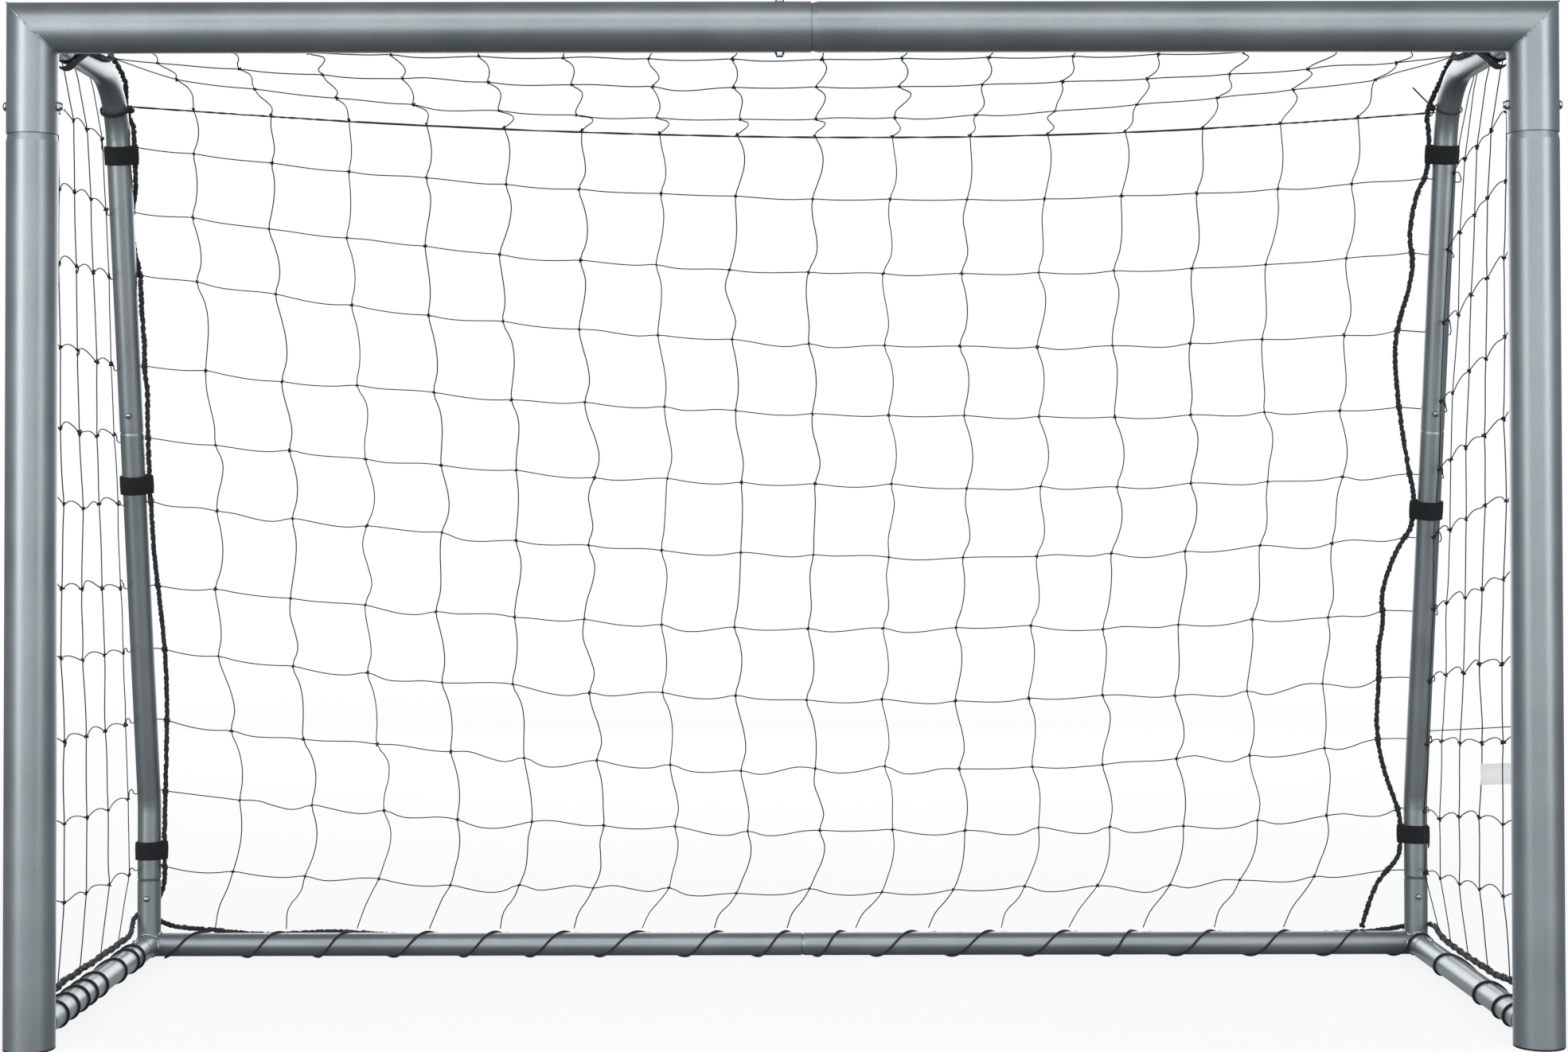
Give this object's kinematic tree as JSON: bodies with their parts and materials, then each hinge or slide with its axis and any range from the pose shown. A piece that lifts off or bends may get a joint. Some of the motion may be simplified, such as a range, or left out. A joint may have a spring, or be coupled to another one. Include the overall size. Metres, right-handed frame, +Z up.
{
  "type": "soccer goal frame",
  "caption": "Freestanding junior soccer goal: bolted round-tube front frame, sloping rear uprights, ground bar and laced black mesh net.",
  "frame": {"origin": "on the ground, in the middle of the goal's footprint", "axes": "+Z up, +X to the right seen from in front of the goal, -Y out of the goal mouth"},
  "size_m": [1.839, 0.6334, 1.2345],
  "materials": {
    "silver_paint": "satin",
    "zinc_plate": "gloss",
    "spring_steel": "satin",
    "black_plastic": "satin",
    "strap_webbing": "matte",
    "black_cord": "matte",
    "net_twine": "matte",
    "label_cloth": "matte"
  },
  "bodies": {
    "frame": {"border_rope_base": "black_cord", "border_rope_left": "black_cord", "border_rope_right": "black_cord", "button_springs": "spring_steel", "corner_piece_left": "silver_paint", "corner_piece_right": "silver_paint", "corner_strap_left": "strap_webbing", "corner_strap_right": "strap_webbing", "corner_top_stub_left": "silver_paint", "corner_top_stub_right": "silver_paint", "crossbar_left": "silver_paint", "crossbar_right": "silver_paint", "dome_nuts": "zinc_plate", "lacing_left": "black_cord", "lacing_rear": "black_cord", "lacing_right": "black_cord", "line_tie_left": "black_plastic", "line_tie_right": "black_plastic", "net_back": "net_twine", "net_hooks": "black_plastic", "net_label": "label_cloth", "net_left": "net_twine", "net_right": "net_twine", "net_roof": "net_twine", "post_foot_left": "black_plastic", "post_foot_right": "black_plastic", "post_left": "silver_paint", "post_right": "silver_paint", "post_stub_left": "silver_paint", "post_stub_right": "silver_paint", "rear_bar_left": "silver_paint", "rear_bar_right": "silver_paint", "rear_corner_side_stub_left": "silver_paint", "rear_corner_side_stub_right": "silver_paint", "rear_corner_socket_left": "silver_paint", "rear_corner_socket_right": "silver_paint", "side_tube_left": "silver_paint", "side_tube_right": "silver_paint", "tension_line": "black_cord", "through_bolts": "zinc_plate", "upright_lower_left": "silver_paint", "upright_lower_right": "silver_paint", "upright_straps_left": "strap_webbing", "upright_straps_right": "strap_webbing", "upright_upper_left": "silver_paint", "upright_upper_right": "silver_paint"},
    "rear_bar_button": {"snap_button_rear_bar": "zinc_plate"},
    "side_front_left_button": {"snap_button_side_front_left": "zinc_plate"},
    "side_front_right_button": {"snap_button_side_front_right": "zinc_plate"},
    "side_rear_left_button": {"snap_button_side_rear_left": "zinc_plate"},
    "side_rear_right_button": {"snap_button_side_rear_right": "zinc_plate"},
    "top_left_button": {"snap_button_top_left": "zinc_plate"},
    "top_right_button": {"snap_button_top_right": "zinc_plate"},
    "upright_base_left_button": {"snap_button_upright_base_left": "zinc_plate"},
    "upright_base_right_button": {"snap_button_upright_base_right": "zinc_plate"},
    "upright_mid_left_button": {"snap_button_upright_mid_left": "zinc_plate"},
    "upright_mid_right_button": {"snap_button_upright_mid_right": "zinc_plate"}
  },
  "joints": [
    {"name": "rear_bar_press", "type": "slide", "parent": "frame", "child": "rear_bar_button", "axis": [0, -1, 0], "range_m": [0, 0.004], "stiffness_N_per_m": 2000},
    {"name": "side_front_left_press", "type": "slide", "parent": "frame", "child": "side_front_left_button", "axis": [0, 0, -1], "range_m": [0, 0.004], "stiffness_N_per_m": 2000, "deforming": ["button_springs"]},
    {"name": "side_front_right_press", "type": "slide", "parent": "frame", "child": "side_front_right_button", "axis": [0, 0, -1], "range_m": [0, 0.004], "stiffness_N_per_m": 2000, "deforming": ["button_springs"]},
    {"name": "side_rear_left_press", "type": "slide", "parent": "frame", "child": "side_rear_left_button", "axis": [0, 0, -1], "range_m": [0, 0.004], "stiffness_N_per_m": 2000, "deforming": ["button_springs"]},
    {"name": "side_rear_right_press", "type": "slide", "parent": "frame", "child": "side_rear_right_button", "axis": [0, 0, -1], "range_m": [0, 0.004], "stiffness_N_per_m": 2000, "deforming": ["button_springs"]},
    {"name": "top_left_press", "type": "slide", "parent": "frame", "child": "top_left_button", "axis": [0, 0, -1], "range_m": [0, 0.004], "stiffness_N_per_m": 2000, "deforming": ["button_springs"]},
    {"name": "top_right_press", "type": "slide", "parent": "frame", "child": "top_right_button", "axis": [0, 0, -1], "range_m": [0, 0.004], "stiffness_N_per_m": 2000, "deforming": ["button_springs"]},
    {"name": "upright_base_left_press", "type": "slide", "parent": "frame", "child": "upright_base_left_button", "axis": [0, 1, 0], "range_m": [0, 0.004], "stiffness_N_per_m": 2000},
    {"name": "upright_base_right_press", "type": "slide", "parent": "frame", "child": "upright_base_right_button", "axis": [0, 1, 0], "range_m": [0, 0.004], "stiffness_N_per_m": 2000},
    {"name": "upright_mid_left_press", "type": "slide", "parent": "frame", "child": "upright_mid_left_button", "axis": [0, 0.9808, 0.1952], "range_m": [0, 0.004], "stiffness_N_per_m": 2000},
    {"name": "upright_mid_right_press", "type": "slide", "parent": "frame", "child": "upright_mid_right_button", "axis": [0, 0.9808, 0.1952], "range_m": [0, 0.004], "stiffness_N_per_m": 2000}
  ]
}
